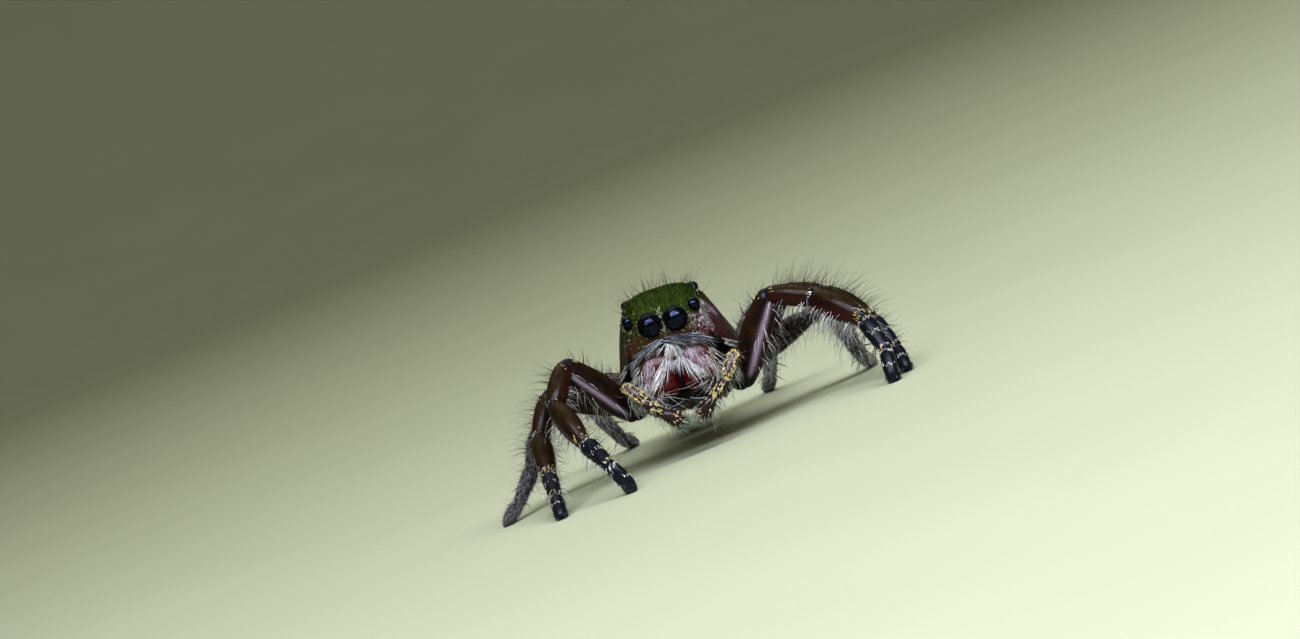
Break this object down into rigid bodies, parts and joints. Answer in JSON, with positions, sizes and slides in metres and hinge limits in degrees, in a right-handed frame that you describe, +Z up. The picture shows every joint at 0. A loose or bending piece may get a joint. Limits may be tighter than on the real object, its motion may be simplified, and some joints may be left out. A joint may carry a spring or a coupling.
{
  "type": "giant jumping spider",
  "caption": "Life-size giant jumping spider standing alert on level ground, dark mahogany and glossy, with large front eyes, maroon jaws and pale hair fringes.",
  "frame": {"origin": "on the floor under the feet, at the centre of the spider's overall box", "axes": "+Z up, the spider faces -Y, its left side is +X"},
  "size_m": [0.0258, 0.0272, 0.0109],
  "materials": {
    "carapace": "polished dark mahogany cuticle, olive green on top of the head",
    "jaw": "glossy maroon cuticle with white hair",
    "fang": "glossy blue-black cuticle",
    "eye": "mirror-smooth black lens",
    "leg": "glossy mahogany cuticle with pale hair fringes",
    "foot": "glossy black cuticle with white and gold scales",
    "abdomen": "soft dark brown skin under short grey and gold hair",
    "underside": "dull dark brown cuticle under short hair"
  },
  "bodies": {
    "root": {"abdomen": "abdomen", "carapace": "carapace", "eye_front_middle_left": "eye", "eye_front_middle_right": "eye", "eye_front_side_left": "eye", "eye_front_side_right": "eye", "eye_rear_side_left": "eye", "eye_rear_side_right": "eye", "eye_rear_small_left": "eye", "eye_rear_small_right": "eye", "fang_left": "fang", "fang_right": "fang", "jaw_left": "jaw", "jaw_right": "jaw", "leg_1_left_femur": "leg", "leg_1_left_foot": "foot", "leg_1_left_hip": "leg", "leg_1_left_shin": "leg", "leg_1_right_femur": "leg", "leg_1_right_foot": "foot", "leg_1_right_hip": "leg", "leg_1_right_shin": "leg", "leg_2_left_femur": "leg", "leg_2_left_foot": "foot", "leg_2_left_hip": "leg", "leg_2_left_shin": "leg", "leg_2_right_femur": "leg", "leg_2_right_foot": "foot", "leg_2_right_hip": "leg", "leg_2_right_shin": "leg", "leg_3_left_femur": "leg", "leg_3_left_foot": "foot", "leg_3_left_hip": "leg", "leg_3_left_shin": "leg", "leg_3_right_femur": "leg", "leg_3_right_foot": "foot", "leg_3_right_hip": "leg", "leg_3_right_shin": "leg", "leg_4_left_femur": "leg", "leg_4_left_foot": "foot", "leg_4_left_hip": "leg", "leg_4_left_shin": "leg", "leg_4_right_femur": "leg", "leg_4_right_foot": "foot", "leg_4_right_hip": "leg", "leg_4_right_shin": "leg", "mouth_plates": "underside", "palp_left_lower": "leg", "palp_left_upper": "leg", "palp_right_lower": "leg", "palp_right_upper": "leg", "pedicel": "underside", "spinnerets": "abdomen", "sternum": "underside"}
  },
  "joints": []
}
